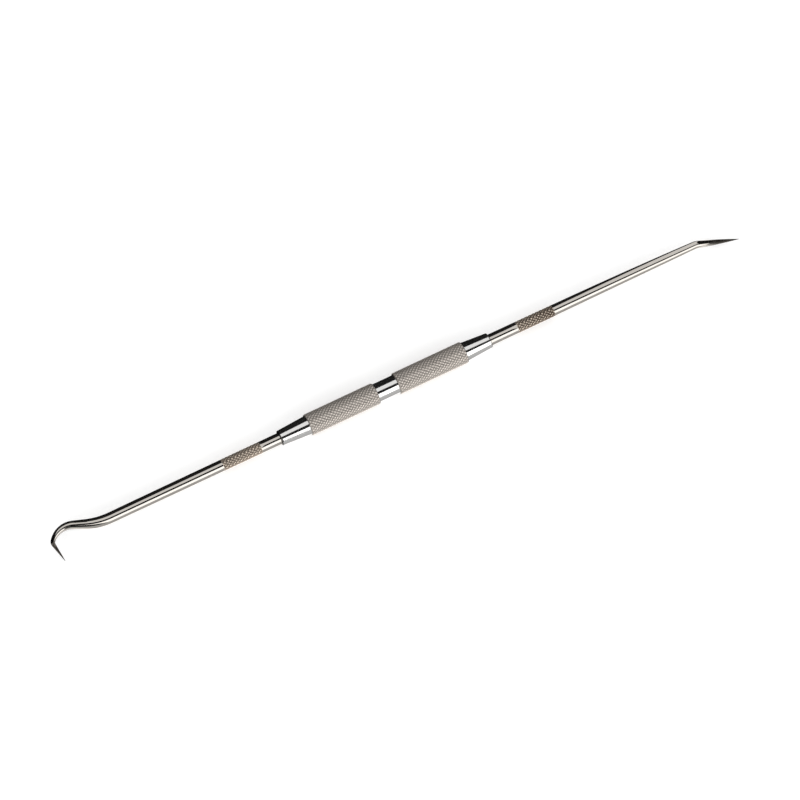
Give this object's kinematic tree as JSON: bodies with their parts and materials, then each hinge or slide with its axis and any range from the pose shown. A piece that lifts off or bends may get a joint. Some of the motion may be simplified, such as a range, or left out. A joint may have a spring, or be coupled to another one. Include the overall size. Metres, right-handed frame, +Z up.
{
  "type": "double-ended pick",
  "caption": "Slim double-ended hand pick with a knurled, plated handle, a screw-in hook at one end and a screw-in, slightly angled needle point at the other.",
  "frame": {"origin": "on the handle's axis, at the middle of the plain neck between its two grips; the surface it lies on is 3.425 mm below", "axes": "+X along the handle towards the angled point, +Z up, and the tips of both bends lean towards -Y and down"},
  "size_m": [0.2289, 0.009, 0.0068],
  "materials": {
    "handle_plating": "bright nickel plating over turned and diamond-knurled steel",
    "hook_point_steel": "polished hardened steel with a warm cast, knurled finger band",
    "angled_point_steel": "polished hardened steel with a warm cast, knurled finger band"
  },
  "bodies": {
    "handle": {"handle": "handle_plating"},
    "hook_point": {"hook_point": "hook_point_steel"},
    "angled_point": {"angled_point": "angled_point_steel"}
  },
  "joints": [
    {"name": "hook_point_unscrew", "type": "slide", "parent": "handle", "child": "hook_point", "axis": [-1, 0, 0], "range_m": [0, 0.012]},
    {"name": "angled_point_unscrew", "type": "slide", "parent": "handle", "child": "angled_point", "axis": [1, 0, 0], "range_m": [0, 0.012]}
  ]
}
